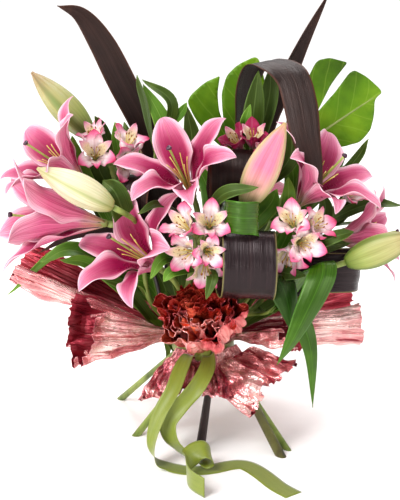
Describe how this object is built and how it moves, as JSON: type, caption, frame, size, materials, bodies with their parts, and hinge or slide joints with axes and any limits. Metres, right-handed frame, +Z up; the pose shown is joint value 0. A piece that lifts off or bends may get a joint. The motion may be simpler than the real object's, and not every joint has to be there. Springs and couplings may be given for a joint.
{
  "type": "mixed flower bouquet",
  "caption": "Hand-tied bouquet of pink lilies and alstroemeria with dark and split leaves, a collar of pleated foil fans and a trailing ribbon, standing on its splayed cut stems.",
  "frame": {"origin": "on the surface that the bouquet stands on, under the middle of its outline seen from above", "axes": "+Z up, +X to the right and +Y to the back as the bouquet is seen from its front, where the ribbon hangs"},
  "size_m": [0.5012, 0.395, 0.552],
  "materials": {
    "twine": "twisted jute twine",
    "stem": "smooth waxy green stem with pale nodes",
    "pistil": "matte, with a dark purple stigma",
    "lily": "soft matte petal, deeper pink in the throat and whitish at the edge",
    "bud": "matte cream green with greener ribs",
    "opening_bud": "matte pink with cream green ribs",
    "alstroemeria": "soft matte petal, white and pink with magenta edges",
    "alstroemeria_deep": "soft matte magenta petal",
    "dark_leaf": "satin, near black with brown edges and fine parallel veins",
    "strap_leaf": "glossy deep green with fine parallel veins",
    "split_leaf": "semi-gloss bright green with paler veins",
    "leaf": "matte mid green",
    "ribbon": "satin",
    "foil": "crinkled metallic foil in dusty rose",
    "rosette_foil": "crinkled metallic foil in deep red"
  },
  "bodies": {
    "root": {"twine": "twine", "lily_stem_left": "stem", "lily_stem_centre": "stem", "lily_stem_right": "stem", "lily_stem_back": "stem", "lily_left_pistil": "pistil", "lily_left_upper_pistil": "pistil", "lily_front_pistil": "pistil", "lily_centre_pistil": "pistil", "lily_right_pistil": "pistil", "lily_right_low_pistil": "pistil", "lily_back_pistil": "pistil", "lily_left": "lily", "lily_left_upper": "lily", "lily_front": "lily", "lily_centre": "lily", "lily_right": "lily", "lily_right_low": "lily", "lily_back": "lily", "bud_left_upper": "bud", "bud_left": "bud", "bud_right": "bud", "bud_opening": "opening_bud", "alstroemeria_left": "alstroemeria", "alstroemeria_centre": "alstroemeria", "alstroemeria_right": "alstroemeria", "alstroemeria_top": "alstroemeria_deep", "alstroemeria_side": "alstroemeria", "alstroemeria_back": "alstroemeria", "dark_leaf_tall_left": "dark_leaf", "dark_leaf_tall_right": "dark_leaf", "dark_leaf_arch": "dark_leaf", "dark_leaf_roll_upper": "dark_leaf", "dark_leaf_roll_front": "dark_leaf", "dark_leaf_roll_right": "dark_leaf", "dark_leaf_roll_left": "dark_leaf", "dark_leaf_low_left": "dark_leaf", "strap_leaf_front": "strap_leaf", "strap_leaf_low": "strap_leaf", "strap_leaf_dark": "strap_leaf", "strap_leaf_roll": "strap_leaf", "split_leaf_left": "split_leaf", "split_leaf_right": "split_leaf", "leaf_sprig_left": "leaf", "leaf_sprig_right": "leaf", "ribbon": "ribbon", "foil_rosette_heart": "rosette_foil", "foil_rosette_lip": "rosette_foil", "foil_fan_left": "foil", "foil_fan_left_upper": "foil", "foil_fan_front": "foil", "foil_fan_front_right": "foil", "foil_fan_right_upper": "foil", "foil_fan_right": "foil", "foil_fan_back_right": "foil", "foil_fan_back": "foil", "foil_fan_back_left": "foil"}
  },
  "joints": []
}
